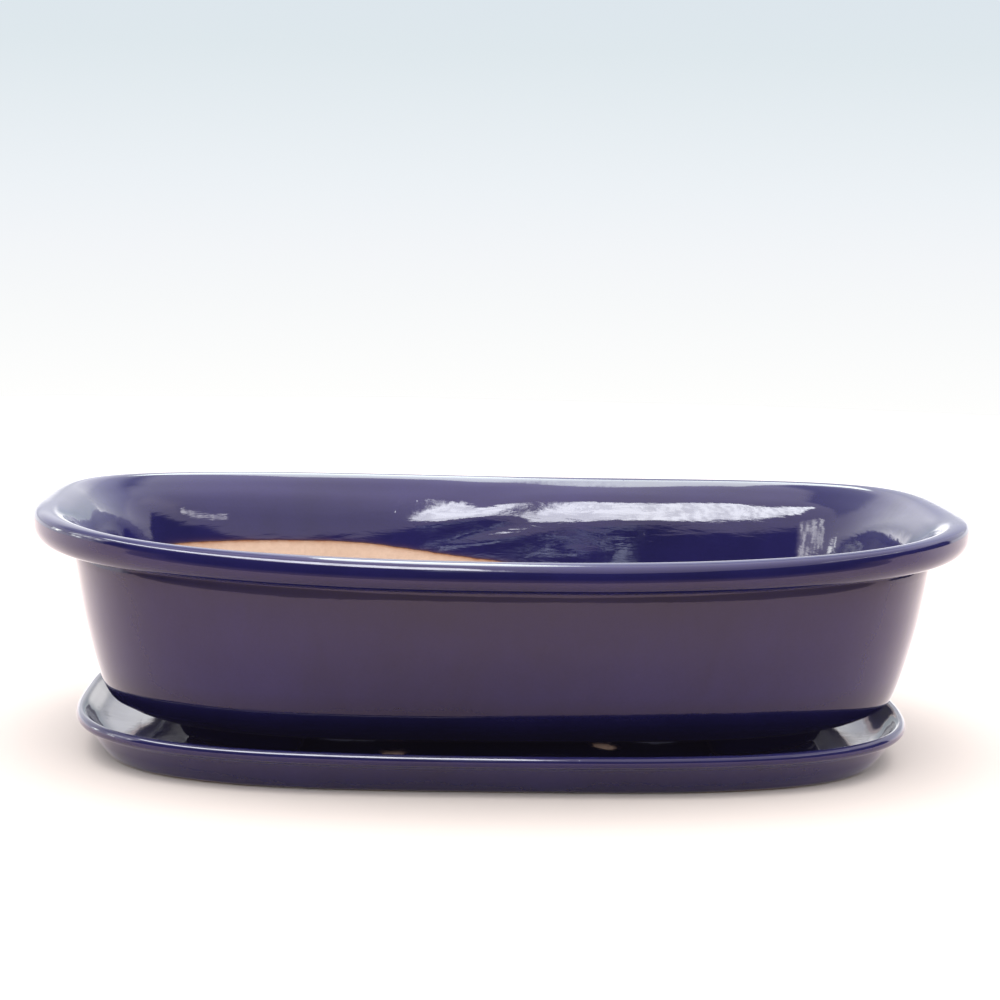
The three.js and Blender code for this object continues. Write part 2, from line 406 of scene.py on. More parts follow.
# ------------------------------------------------------------------ the pot
# control points: inset from the outermost edge of the lip, z, exponent of the plan
W_EXP, L_EXP, C_EXP = 3.2, 2.72, 2.95
outer_pts = [
    (96.0, UNDER_Z, W_EXP), (90.0, UNDER_Z, W_EXP), (80.0, UNDER_Z, W_EXP), (64.0, UNDER_Z, W_EXP), (52.0, UNDER_Z, W_EXP), (48.0, UNDER_Z + 0.03, W_EXP), (44.6, UNDER_Z + 0.45, W_EXP), (40.6, UNDER_Z + 1.6, W_EXP),
    (37.0, UNDER_Z + 3.4, W_EXP), (33.6, UNDER_Z + 5.7, W_EXP), (31.7, 22.5, W_EXP), (30.0, 25.2, W_EXP), (28.7, 28.3, W_EXP), (26.55, 34.9, W_EXP),
    (24.2, 43.6, W_EXP), (21.9, 53.5, W_EXP), (20.1, 63.5, W_EXP), (18.8, 71.5, W_EXP), (18.1, 76.0, 3.18), (17.5, 80.2, 3.15), (17.1, 81.2, 3.14),
    (16.2, 81.7, 3.12), (14.2, 81.85, 3.07), (11.4, 81.85, 2.98), (8.2, 81.9, 2.86), (5.8, 82.1, 2.80), (3.8, 82.65, 2.76), (2.2, 83.6, 2.73),
    (1.1, 84.9, L_EXP), (0.4, 86.5, L_EXP), (0.06, 88.1, L_EXP), (0.0, 89.7, L_EXP), (0.03, 91.0, L_EXP), (0.16, 92.0, 2.73), (0.55, 92.85, 2.75),
    (1.35, 93.5, 2.79), (2.7, 93.97, 2.84), (4.4, 94.22, 2.90), (6.2, RIM_Z, C_EXP),
]
inner_pts = [
    (6.2, RIM_Z, C_EXP), (8.0, 94.1, 2.97), (10.0, 93.4, 3.0), (13.6, 91.2, 3.05), (16.8, 88.1, 3.09), (19.6, 84.8, 3.12),
    (22.2, 80.6, 3.16), (24.3, 75.9, W_EXP), (26.2, 69.0, W_EXP), (27.9, 61.0, W_EXP), (29.3, 54.0, W_EXP),
    (31.6, 45.0, W_EXP), (35.0, 36.0, W_EXP), (39.6, 29.2, W_EXP),
    (46.5, 24.9, W_EXP), (54.0, FLOOR_Z + 0.25, W_EXP), (60.0, FLOOR_Z, W_EXP),
]
pot_sec = Section(outer_pts + inner_pts[1:])
S_CREST = pot_sec.s_of(1, RIM_Z + 1.0)
N = 320
T = even_angles(N, POT_A - 15, POT_B - 15, 3.0)
COS, SIN = np.cos(T), np.sin(T)


def rim_shape(u, v, z):
    """How far the surface sits below the section's own z: the long sides of the rim dip, and nothing is quite even."""
    w = smooth(20.0, RIM_Z, z)
    sag = SAG * w * (1 - u * u)
    # hand-made unevenness of the rim, a few tenths of a millimetre
    ang = np.arctan2(v, u)
    sag = sag + 1.30 * smooth(82.5, RIM_Z - 1.0, z) * (1 - np.abs(u) ** 8)
    sag = sag + w * (0.30 * np.sin(2 * ang + 0.7) + 0.22 * np.sin(3 * ang - 0.9) + 0.12 * np.sin(5 * ang + 2.0) + 0.10)
    return sag


def pot_surface(s, extra_inset=0.0):
    """Points of the pot's surface, s an array [rows, N] of section coordinates."""
    inset, z, n = pot_sec.at(s)
    # the end walls stand a little fuller than the long ones
    full = 1.7 * (1 - smooth(76.0, 84.0, z)) * smooth(UNDER_Z, UNDER_Z + 6.0, z) * (s < S_CREST)
    a, b = POT_A - inset - extra_inset + full, POT_B - inset - extra_inset
    e = 2 / n
    x, y = a * spow(COS[None, :], e), b * spow(SIN[None, :], e)
    u, v = x / a, y / b
    return np.stack([x, y, z - rim_shape(u, v, z)], axis=2), inset, z


def unevenness(P, inset_side, seed):
    """Slow waves of the wall, as offsets along the normal in mm."""
    flat = P.reshape(-1, 3)
    a = noise_field(flat, 85.0, seed, 2)
    b = noise_field(flat * np.array([1, 1, 1.8]), 26.0, seed + 3, 2)
    return (0.30 * a + 0.055 * b).reshape(P.shape[:2]) * inset_side


def inner_swell(P, S):
    """Broad uneven swellings of the inner wall, thrown by hand and never quite trued up."""
    x, y, z = P[..., 0], P[..., 1], P[..., 2]
    inside = smooth(S_CREST + 5.0, S_CREST + 16.0, S) * smooth(FLOOR_Z + 3, FLOOR_Z + 20, z)
    back = smooth(10.0, 70.0, y)
    h = 1.05 * np.sin(2 * math.pi * (x - 8.0) / 220.0) * np.exp(-((x - 20) / 110.0) ** 2) * back
    flat = P.reshape(-1, 3)
    n1 = noise_field(flat * np.array([1, 1, 1.6]), 38.0, 41, 2).reshape(x.shape)
    n2 = noise_field(flat * np.array([1, 1, 3.0]), 15.0, 47, 2).reshape(x.shape)
    zz = z + rim_shape(x / 165.0, np.full_like(x, 0.6), z)
    # slanting brush waves in the middle of the back wall, and one small swelling lower down to the right
    h = h + 0.26 * back * np.sin(2 * math.pi * (zz / 15.0 - x / 62.0) + 0.6) * np.exp(-((x + 4) / 27.0) ** 2) * smooth(58, 66, zz)
    h = h + 0.55 * back * np.exp(-((x - 42) / 13.0) ** 2 - ((zz - 58.0) / 7.0) ** 2)
    return inside * (h + 0.12 * n1 + 0.03 * n2)


def build_surface(S, coat, seed=1):
    """Rows of points at section coordinates S [rows, N], with their normals and slow waves in mm; coat is not used."""
    P, inset, z = pot_surface(S, 0.45)
    Nn = grid_normals(P)
    mid = P.shape[0] // 2
    inner = (S > S_CREST).astype(float)
    amp = np.where(S > S_CREST, 1.0, 0.55) * smooth(UNDER_Z + 1.0, UNDER_Z + 10, z)
    amp = np.where(S > S_CREST, amp * smooth(FLOOR_Z + 0.5, FLOOR_Z + 12, z) , amp)
    near_crest = np.exp(-((S - S_CREST) / 9.0) ** 2)
    amp = amp * (1 - 0.8 * near_crest)
    wave = unevenness(P, 1.0, seed) * amp + inner_swell(P, S)
    return P, Nn, wave


# which way is out: test once on a plain wall row
_test = np.repeat(np.linspace(40, 60, 5)[:, None], N, axis=1)
_P, _, _ = pot_surface(_test)
_n = grid_normals(_P)
OUT = 1.0 if float((_n[2, 0] * np.array([1.0, 0, 0])).sum()) > 0 else -1.0

# where the glaze stops inside: a wavering line on the inner wall
ang = np.arctan2(SIN, COS)


def around(points, x):
    """Periodic smooth curve through (degrees, value) points."""
    p = sorted(points)
    xs = np.radians([q[0] for q in p])
    ys = np.array([q[1] for q in p], float)
    xs = np.concatenate([xs - 2 * math.pi, xs, xs + 2 * math.pi])
    ys = np.concatenate([ys, ys, ys])
    # cosine interpolation, then slight smoothing
    i = np.clip(np.searchsorted(xs, x) - 1, 0, len(xs) - 2)
    t = (x - xs[i]) / (xs[i + 1] - xs[i])
    t = t * t * (3 - 2 * t)
    return ys[i] * (1 - t) + ys[i + 1] * t


in_s0 = S_CREST + 6.0


def s_at_z(zv):
    """Section coordinate on the inner wall for heights zv."""
    m = pot_sec.s >= in_s0
    ss, zz = pot_sec.s[m], pot_sec.p[m, 1]
    order = np.argsort(zz)
    return np.interp(zv, zz[order], ss[order])


# position angle of each outline point, by its real direction scaled to a circle
line_ang = np.arctan2(spow(SIN, 2 / W_EXP), spow(COS, 2 / W_EXP))
line_z = around(
    [(0, 49), (25, 46), (50, 48), (68, 50), (80, 52.5), (91, 56.3), (94, 57.5), (97.2, 58.8), (100.6, 60.1), (103.7, 61.3),
     (106.8, 62.5), (109.9, 63.4), (114.3, 64.0), (123, 64.1), (132, 64.1), (139.3, 64.2), (150, 63.0), (165, 59.0),
     (-175, 56.0), (-155, 54), (-135, 56), (-112, 59), (-90, 57), (-65, 53), (-45, 54), (-22, 52)],
    line_ang,
)
wig = np.array([noise.noise(Vector((math.cos(a) * 9.0, math.sin(a) * 9.0, 4.2))) for a in line_ang])
wig2 = np.array([noise.noise(Vector((math.cos(a) * 34.0, math.sin(a) * 34.0, 1.2))) for a in line_ang])
line_z = line_z + 0.30 * wig + 0.12 * wig2
S_LINE = s_at_z(line_z)
S_WIPE = 7.0 + 0.9 * np.sin(3 * ang + 1) + 0.5 * np.sin(7 * ang)   # glaze wiped clear of the underside


def rows_between(s0, s1, k):
    """k rows from s0 to s1, each a number or an array over the outline."""
    a = np.broadcast_to(np.asarray(s0, float), (N,))
    b = np.broadcast_to(np.asarray(s1, float), (N,))
    f = np.linspace(0, 1, k)[:, None]
    return a[None, :] * (1 - f) + b[None, :] * f


S_WALLTOP = pot_sec.s_of(1, 73.0, hi=S_CREST)

# clay body: every surface under the glaze, and the bare ones
clay_S = np.vstack([
    rows_between(0.0, 40.0, 12)[:-1],
    rows_between(40.0, S_WALLTOP, 50)[:-1],
    rows_between(S_WALLTOP, S_CREST, 44)[:-1],
    rows_between(S_CREST, S_LINE - 0.01, 46)[:-1],
    rows_between(S_LINE - 0.01, pot_sec.length, 44),
])
P, Nn, wave = build_surface(clay_S, None)
P = P + Nn * (OUT * wave)[:, :, None]
rows = P.shape[0]
bm = bmesh.new()
ring_v = [[bm.verts.new(P[r, c] * MM) for c in range(N)] for r in range(rows)]
for r in range(rows - 1):
    for c in range(N):
        d = (c + 1) % N
        f = bm.faces.new((ring_v[r][c], ring_v[r][d], ring_v[r + 1][d], ring_v[r + 1][c]))


def hole_rings(x, y, r, sides):
    """Vertex rings of a hole with eased edges, from the underside up to the floor."""
    zb, zt = float(np.mean([v.co.z for v in ring_v[0]])) / MM, float(np.mean([v.co.z for v in ring_v[-1]])) / MM
    prof = [(r + 1.3, zb), (r + 0.55, zb + 0.15), (r + 0.12, zb + 0.6), (r, zb + 1.4), (r - 0.1, (zb + zt) / 2),
            (r, zt - 1.6), (r + 0.2, zt - 0.8), (r + 0.8, zt - 0.18), (r + 1.9, zt)]
    out = []
    for rr, zz in prof:
        ring = []
        for i in range(sides):
            a = 2 * math.pi * i / sides
            k = 1 + 0.012 * math.sin(2 * a + x) + 0.008 * math.sin(3 * a + y)
            ring.append(bm.verts.new(((x + rr * k * math.cos(a)) * MM, (y + rr * k * math.sin(a)) * MM, zz * MM)))
        out.append(ring)
    return out


# flatten the two rims of the plates so that they are truly planar
zb = float(np.mean([v.co.z for v in ring_v[0]]))
zt = float(np.mean([v.co.z for v in ring_v[-1]]))
for v in ring_v[0]:
    v.co.z = zb
for v in ring_v[-1]:
    v.co.z = zt
hole_sets = [hole_rings(x, y, r, 72) for x, y, r in DRAINS] + [hole_rings(x, y, r, 40) for x, y, r in WIRES]
for rings in hole_sets:
    n = len(rings[0])
    for a, b in zip(rings[:-1], rings[1:]):
        for i in range(n):
            j = (i + 1) % n
            bm.faces.new((a[i], b[i], b[j], a[j]))
fill_plane(bm, [ring_v[0]] + [h[0] for h in hole_sets], False)
fill_plane(bm, [ring_v[-1]] + [h[-1] for h in hole_sets], True)
bmesh.ops.recalc_face_normals(bm, faces=bm.faces[:])
me = bpy.data.meshes.new("pot_clay_body")
bm.verts.index_update()
stain = np.zeros(len(bm.verts), np.float32)
s_flat = clay_S.reshape(-1)
dist_line = (clay_S - S_LINE[None, :]).reshape(-1)
st = np.exp(-np.clip(dist_line, 0, None) / 1.1) * (dist_line > -0.5)
dist_wipe = (S_WIPE[None, :] * np.ones_like(clay_S) - clay_S).reshape(-1)
st = np.maximum(st, np.exp(-np.clip(dist_wipe, 0, None) / 1.4) * (dist_wipe > -0.5) * 0.8)
stain[: len(s_flat)] = st
bm.to_mesh(me)
bm.free()
pot_clay = bpy.data.objects.new("pot_clay_body", me)
bpy.context.scene.collection.objects.link(pot_clay)
me.materials.append(POT_CLAY)
me.polygons.foreach_set("use_smooth", [True] * len(me.polygons))
set_float(pot_clay, "stain", stain)

# glaze coat: from the wiped foot line, over the lip, down to the line inside
coat_S = np.vstack([
    rows_between(S_WIPE, S_WIPE + 3.0, 9)[:-1],
    rows_between(S_WIPE + 3.0, 40.0, 8)[:-1],
    rows_between(40.0, S_WALLTOP, 50)[:-1],
    rows_between(S_WALLTOP, S_CREST, 50)[:-1],
    rows_between(S_CREST, S_CREST + 24, 34)[:-1],
    rows_between(S_CREST + 24, S_LINE - 3.0, 16)[:-1],
    rows_between(S_LINE - 3.0, S_LINE, 12),
])
P, Nn, wave = build_surface(coat_S, None)
d0 = coat_S - S_WIPE[None, :]
d1 = S_LINE[None, :] - coat_S


def edge_profile(d, t, bead):
    """Thickness of a glaze coat near its edge: round end, then a slight bead."""
    body = t * np.sqrt(np.clip(1 - (1 - np.clip(d / (1.1 * t), 0, 1)) ** 2, 0, 1))
    return body + bead * np.exp(-((d - 1.3) / 0.9) ** 2) * smooth(0, 0.8, d)


thick = np.minimum(edge_profile(d0, 0.45, 0.10), edge_profile(d1, 0.45, 0.22))
thick = np.maximum(thick, 0.04)
top = P + Nn * (OUT * (wave + thick))[:, :, None]
low = P + Nn * (OUT * (wave + 0.02))[:, :, None]
R = top.shape[0]
verts = np.concatenate([top.reshape(-1, 3), low.reshape(-1, 3)]) * MM
faces = []
for r in range(R - 1):
    faces += ring_faces(r * N, (r + 1) * N, N)
off = R * N
for r in range(R - 1):
    faces += [tuple(reversed(f)) for f in ring_faces(off + r * N, off + (r + 1) * N, N)]
faces += ring_faces(off, 0, N)
faces += [tuple(reversed(f)) for f in ring_faces(off + (R - 1) * N, (R - 1) * N, N)]
pot_glaze = new_object("pot_glaze_coat", verts, faces, [POT_GLAZE])
thin_v = np.maximum(np.exp(-d1 / 0.9), np.exp(-d0 / 0.9)) * 0.9
set_float(pot_glaze, "thin", np.concatenate([thin_v.reshape(-1), thin_v.reshape(-1)]))
inside_v = smooth(S_CREST + 3.0, S_CREST + 14.0, coat_S).reshape(-1)
set_float(pot_glaze, "inside", np.concatenate([inside_v, inside_v]))


def face_outwards(ob):
    b = bmesh.new()
    b.from_mesh(ob.data)
    bmesh.ops.recalc_face_normals(b, faces=b.faces[:])
    b.to_mesh(ob.data)
    b.free()


face_outwards(pot_glaze)
for ob, slot in ((pot_clay, "bare_clay"), (pot_glaze, "pot_glaze")):
    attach(ob, "pot")
    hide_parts("pot_body")

# ------------------------------------------------------------------ the feet
FOOT_TOP_Z = UNDER_Z - 0.02
FOOT_BOT_Z = foot_lo.z / MM


def foot(name, node, sx, sy, seed):
    # centre line of the foot in plan, along the corner of the oval
    t = np.radians(np.linspace(24.5, 58.5, 41))
    a, b = 124.2, 76.2
    cx, cy = a * spow(np.cos(t), 2 / W_EXP), b * spow(np.sin(t), 2 / W_EXP)
    c = np.stack([cx, cy], 1)
    d = np.gradient(c, axis=0)
    d /= np.linalg.norm(d, axis=1, keepdims=True)
    nrm = np.stack([d[:, 1], -d[:, 0]], 1)          # outward
    if (nrm[20] * c[20]).sum() < 0:
        nrm = -nrm
    half = 8.3

    def loop(delta):
        h = half + delta
        pts = [c[i] + nrm[i] * h for i in range(len(c))]
        # round far end
        e, ed, en = c[-1], d[-1], nrm[-1]
        hh = h * 0.75
        for k in range(1, 12):
            q = math.pi * k / 12
            pts.append(e + en * h * math.cos(q) + ed * hh * math.sin(q))
        pts += [c[i] - nrm[i] * h for i in range(len(c) - 1, -1, -1)]
        e, ed, en = c[0], -d[0], -nrm[0]
        for k in range(1, 12):
            q = math.pi * k / 12
            pts.append(e + en * h * math.cos(q) + ed * hh * math.sin(q))
        return np.array(pts)

    H = FOOT_TOP_Z - FOOT_BOT_Z
    levels = [
        (4.6, 1.00), (3.6, 0.965), (2.7, 0.905), (1.9, 0.82), (1.2, 0.72), (0.5, 0.60), (-0.15, 0.47), (-0.75, 0.35),
        (-1.3, 0.24), (-1.8, 0.145), (-2.3, 0.07), (-2.9, 0.02), (-3.6, 0.0), (-4.8, 0.0), (-6.4, 0.0),
    ]
    bm = bmesh.new()
    rings = []
    for delta, w in levels:
        pts = loop(delta)
        z = FOOT_BOT_Z + 0.02 + H * w
        rings.append([bm.verts.new((sx * p[0] * MM, sy * p[1] * MM, z * MM)) for p in pts])
    n = len(rings[0])
    thin = []
    for k, (a_, b_) in enumerate(zip(rings[:-1], rings[1:])):
        for i in range(n):
            j = (i + 1) % n
            f = bm.faces.new((a_[i], a_[j], b_[j], b_[i]))
            f.material_index = 1 if k >= 12 else 0
            f.smooth = True
    fb = fill_plane(bm, [rings[-1]], False)
    for f in fb:
        f.material_index = 1
    ft = fill_plane(bm, [rings[0]], True)
    for f in ft:
        f.material_index = 1
    bmesh.ops.recalc_face_normals(bm, faces=bm.faces[:])
    # small unevenness
    for v in bm.verts:
        w = (v.co.z / MM - FOOT_BOT_Z) / H
        if 0.1 < w < 0.95:
            q = v.co / MM
            v.co.x += 0.18 * noise.noise(q / 11 + Vector((seed, 0, 0))) * MM
            v.co.y += 0.18 * noise.noise(q / 11 + Vector((0, seed, 0))) * MM
    bm.verts.index_update()
    thin = [0.0] * len(bm.verts)
    for k, ring in enumerate(rings):
        for v in ring:
            thin[v.index] = 0.9 if k == 12 else (0.35 if k == 11 else 0.0)
    me = bpy.data.meshes.new(name)
    bm.to_mesh(me)
    bm.free()
    ob = bpy.data.objects.new(name, me)
    bpy.context.scene.collection.objects.link(ob)
    me.materials.append(POT_GLAZE)
    me.materials.append(CLAY)
    set_float(ob, "thin", thin)
    set_float(ob, "stain", [0.0] * len(thin))
    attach(ob, "pot")
    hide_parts(node)
    return ob


for i, (nm, sx, sy) in enumerate([("front_left", -1, -1), ("front_right", 1, -1), ("back_left", -1, 1), ("back_right", 1, 1)]):
    foot("foot_" + nm, "pot_foot_" + nm, sx, sy, i * 3.7 + 1)

# ------------------------------------------------------------------ the tray
T_EXP = 3.15
tray_pts = [
    # inset from the crest line, z
    (17.0, 0.0, 3.4), (13.2, 0.0, 3.4), (11.7, 0.15, 3.4), (10.3, 0.9, 3.38), (8.7, 2.4, 3.34), (6.6, 4.9, 3.28),
    (4.8, 7.4, 3.22), (3.3, 9.4, 3.18), (2.2, 10.5, T_EXP), (0.9, 11.1, T_EXP), (-0.6, 11.6, T_EXP), (-1.35, 12.5, T_EXP), (-1.5, 13.7, T_EXP), (-1.05, 14.95, T_EXP),
    (0.2, TRAY_TOP, T_EXP), (1.7, 14.9, T_EXP), (3.9, 12.5, T_EXP), (6.9, 9.6, T_EXP), (10.6, 7.6, T_EXP), (15.5, TRAY_FLOOR + 0.15, T_EXP),
    (24.0, TRAY_FLOOR, T_EXP),
]
tray_sec = Section(tray_pts)
ST_CREST = tray_sec.s_of(1, TRAY_TOP + 1.0)
NT = 300
TT = even_angles(NT, TRAY_A - 5, TRAY_B - 5, T_EXP)


def tray_surface(s, extra=0.0):
    inset, z, n = tray_sec.at(s)
    a, b = TRAY_A - inset - extra, TRAY_B - inset - extra
    e = 2 / n
    x, y = a * spow(np.cos(TT)[None, :], e), b * spow(np.sin(TT)[None, :], e)
    w = smooth(5.0, TRAY_TOP, z)
    an = np.arctan2(y / b, x / a)
    dip = w * (0.22 * np.sin(2 * an + 2.1) + 0.16 * np.sin(3 * an + 0.4) + 0.10 * np.sin(7 * an) - 0.40)
    return np.stack([x, y, z - dip], axis=2), z


def rows_t(s0, s1, k):
    a = np.broadcast_to(np.asarray(s0, float), (NT,))
    b = np.broadcast_to(np.asarray(s1, float), (NT,))
    f = np.linspace(0, 1, k)[:, None]
    return a[None, :] * (1 - f) + b[None, :] * f


_P, _ = tray_surface(rows_t(8.0, 14.0, 5))
_n = grid_normals(_P)
OUT_T = 1.0 if _n[2, 0][0] > 0 else -1.0
an_t = np.arctan2(np.sin(TT), np.cos(TT))
ST_WIPE = tray_sec.s_of(1, 0.35, hi=ST_CREST) + 0.22 * np.sin(5 * an_t) + 0.15 * np.sin(11 * an_t + 1)
RT = Matrix.Translation((TRAY_CX * MM, TRAY_CY * MM, 0)) @ Matrix.Rotation(TRAY_YAW, 4, "Z")


def tray_wave(P, z):
    f = P.reshape(-1, 3)
    return (0.16 * noise_field(f, 60.0, 21, 2) + 0.03 * noise_field(f, 18.0, 25, 2)).reshape(P.shape[:2]) * smooth(1.2, 6.0, z)


clay_T = np.vstack([rows_t(0.0, ST_WIPE, 16)[:-1], rows_t(ST_WIPE, ST_CREST, 34)[:-1], rows_t(ST_CREST, tray_sec.length, 40)])
P, z = tray_surface(clay_T, 0.0)
Nn = grid_normals(P)
cover = np.where(clay_T > ST_WIPE[None, :], 0.42, 0.0) * smooth(0, 1.0, clay_T - ST_WIPE[None, :])
P = P + Nn * (OUT_T * (tray_wave(P, z) - cover))[:, :, None]
bm = bmesh.new()
rv = [[bm.verts.new(RT @ Vector(P[r, c] * MM)) for c in range(NT)] for r in range(P.shape[0])]
for r in range(len(rv) - 1):
    for c in range(NT):
        d = (c + 1) % NT
        bm.faces.new((rv[r][c], rv[r][d], rv[r + 1][d], rv[r + 1][c]))
for ring in (rv[0], rv[-1]):
    zz = float(np.mean([v.co.z for v in ring]))
    for v in ring:
        v.co.z = zz
fill_plane(bm, [rv[0]], False)
fill_plane(bm, [rv[-1]], True)
bmesh.ops.recalc_face_normals(bm, faces=bm.faces[:])
me = bpy.data.meshes.new("tray_clay_body")
bm.to_mesh(me)
bm.free()
tray_clay = bpy.data.objects.new("tray_clay_body", me)
bpy.context.scene.collection.objects.link(tray_clay)
me.materials.append(CLAY)
me.polygons.foreach_set("use_smooth", [True] * len(me.polygons))
dw = (ST_WIPE[None, :] - clay_T).reshape(-1)
set_float(tray_clay, "stain", np.exp(-np.clip(dw, 0, None) / 1.2) * (dw > -0.5) * 0.85)

coat_T = np.vstack([rows_t(ST_WIPE, ST_WIPE + 2.5, 9)[:-1], rows_t(ST_WIPE + 2.5, ST_CREST, 40)[:-1], rows_t(ST_CREST, tray_sec.length, 44)])
P, z = tray_surface(coat_T, 0.0)
Nn = grid_normals(P)
wv = tray_wave(P, z)
d0 = coat_T - ST_WIPE[None, :]
th = np.maximum(edge_profile(d0, 0.45, 0.10), 0.04) - 0.45 + 0.03
cov = 0.42 * smooth(0, 1.0, d0)
top = P + Nn * (OUT_T * (wv + np.maximum(th, -cov + 0.03)))[:, :, None]
low = P + Nn * (OUT_T * (wv - cov + 0.02))[:, :, None]
R = top.shape[0]
bm = bmesh.new()
tv = [[bm.verts.new(RT @ Vector(top[r, c] * MM)) for c in range(NT)] for r in range(R)]
lv = [[bm.verts.new(RT @ Vector(low[r, c] * MM)) for c in range(NT)] for r in range(R)]
for ring in (tv[-1], lv[-1]):
    zz = float(np.mean([v.co.z for v in ring]))
    for v in ring:
        v.co.z = zz
for grid in (tv, lv):
    for r in range(R - 1):
        for c in range(NT):
            d = (c + 1) % NT
            bm.faces.new((grid[r][c], grid[r][d], grid[r + 1][d], grid[r + 1][c]))
for c in range(NT):
    d = (c + 1) % NT
    bm.faces.new((lv[0][c], lv[0][d], tv[0][d], tv[0][c]))
fill_plane(bm, [tv[-1]], True)
fill_plane(bm, [lv[-1]], False)
bmesh.ops.recalc_face_normals(bm, faces=bm.faces[:])
me = bpy.data.meshes.new("tray_glaze_coat")
bm.to_mesh(me)
bm.free()
tray_glaze = bpy.data.objects.new("tray_glaze_coat", me)
bpy.context.scene.collection.objects.link(tray_glaze)
me.materials.append(TRAY_GLAZE)
me.polygons.foreach_set("use_smooth", [True] * len(me.polygons))
tn = (np.exp(-d0 / 0.8) * 0.9).reshape(-1)
set_float(tray_glaze, "thin", np.concatenate([tn, tn]))
for ob, slot in ((tray_clay, "bare_clay"), (tray_glaze, "tray_glaze")):
    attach(ob, "tray")
    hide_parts("tray")

# ------------------------------------------------------------------ stage


def plain_material(name, color, rough=0.9, emit=0.0):
    m, nt, bsdf = nodes_of(name)
    bsdf.inputs["Base Color"].default_value = (*color, 1)
    bsdf.inputs["Roughness"].default_value = rough
    bsdf.inputs["Specular IOR Level"].default_value = 0.1
    if emit:
        bsdf.inputs["Emission Color"].default_value = (*color, 1)
        bsdf.inputs["Emission Strength"].default_value = emit
    return m


def plane(name, corners, mat):
    me = bpy.data.meshes.new(name)
    me.from_pydata(corners, [], [(0, 1, 2, 3)])
    me.materials.append(mat)
    ob = bpy.data.objects.new(name, me)
    bpy.context.scene.collection.objects.link(ob)
    return ob


FLOOR_MAT = plain_material("stage_floor", (0.685, 0.62, 0.585))
DARK = plain_material("stage_room_dark", (0.0, 0.0, 0.0))
DARK.node_tree.nodes["Principled BSDF"].inputs["Emission Color"].default_value = (0.60, 0.46, 0.34, 1)
_dark = DARK.node_tree
_where = _dark.nodes.new("ShaderNodeNewGeometry")
_split = _dark.nodes.new("ShaderNodeSeparateXYZ")
_fade = _dark.nodes.new("ShaderNodeMapRange")
_dark.links.new(_where.outputs["Position"], _split.inputs[0])
_dark.links.new(_split.outputs["Y"], _fade.inputs["Value"])
_fade.inputs["From Min"].default_value = -0.62
_fade.inputs["From Max"].default_value = -0.34
_fade.inputs["To Min"].default_value = 0.08
_fade.inputs["To Max"].default_value = 1.1
_dark.links.new(_fade.outputs["Result"], _dark.nodes["Principled BSDF"].inputs["Emission Strength"])
ZF = -0.0001
FLOOR_R = 1.6
EDGE = -0.274          # front edge of the table top, as the glaze mirrors it


def disc(name, radius, y0, y1, mat, z=ZF):
    """Part of a round floor between two lines y = y0 and y = y1."""
    pts = []
    for k in range(49):
        y = y0 + (y1 - y0) * k / 48
        pts.append((math.sqrt(max(radius * radius - y * y, 0)), y, z))
    vs = pts + [(-x, y, zz) for x, y, zz in reversed(pts)]
    me = bpy.data.meshes.new(name)
    n = len(pts)
    fs = [(i, i + 1, 2 * n - 2 - i, 2 * n - 1 - i) for i in range(n - 1)]
    me.from_pydata(vs, [], fs)
    me.materials.append(mat)
    ob = bpy.data.objects.new(name, me)
    bpy.context.scene.collection.objects.link(ob)
    return ob


floor = disc("stage_floor", FLOOR_R, EDGE, FLOOR_R, FLOOR_MAT)
floor.visible_glossy = False
# painted light: the floor the glaze mirrors is a brighter, warmer copy of the floor, seen only in reflections, glowing
# bluer toward the back
FLOOR_GLOSS = plain_material("stage_floor_mirrored", (0.74, 0.60, 0.54))
mirrored = disc("stage_floor_mirrored", FLOOR_R, EDGE, FLOOR_R, FLOOR_GLOSS, z=ZF + 0.00006)
mirrored.visible_camera = False
nt_ = FLOOR_GLOSS.node_tree
tc_ = nt_.nodes.new("ShaderNodeTexCoord")
sep_ = nt_.nodes.new("ShaderNodeSeparateXYZ")
nt_.links.new(tc_.outputs["Object"], sep_.inputs[0])
bs_ = nt_.nodes["Principled BSDF"]
bs_.inputs["Emission Color"].default_value = (0.85, 0.95, 1.1, 1)
nt_.links.new(map_range(nt_, sep_.outputs[1], -0.14, 0.06, 0.0, 0.42), bs_.inputs["Emission Strength"])
mirrored.visible_diffuse = False
mirrored.visible_shadow = False
# the rest of the floor is there for the camera only: the glaze mirrors a table that ends at EDGE and a dim room beyond
FLOOR_NEAR = plain_material("stage_floor_near", (0.685, 0.62, 0.585))
nt_ = FLOOR_NEAR.node_tree
tc_ = nt_.nodes.new("ShaderNodeTexCoord")
sep_ = nt_.nodes.new("ShaderNodeSeparateXYZ")
nt_.links.new(tc_.outputs["Object"], sep_.inputs[0])
# painted shade: the camera-only part of the floor darkens toward the camera
fade_ = map_range(nt_, sep_.outputs[1], -0.31, -0.47, 0.0, 1.0)
nt_.links.new(mix_rgb(nt_, "MIX", fade_, (0.685, 0.62, 0.585), (0.56, 0.525, 0.505)), nt_.nodes["Principled BSDF"].inputs["Base Color"])
far = disc("stage_floor_far", FLOOR_R, -FLOOR_R, EDGE, FLOOR_NEAR)
far.visible_glossy = False
far.visible_diffuse = False
under = plane("stage_room_floor", [(-3.2, -3.2, -0.02), (3.2, -3.2, -0.02), (3.2, EDGE, -0.02), (-3.2, EDGE, -0.02)], DARK)
under.visible_camera = False


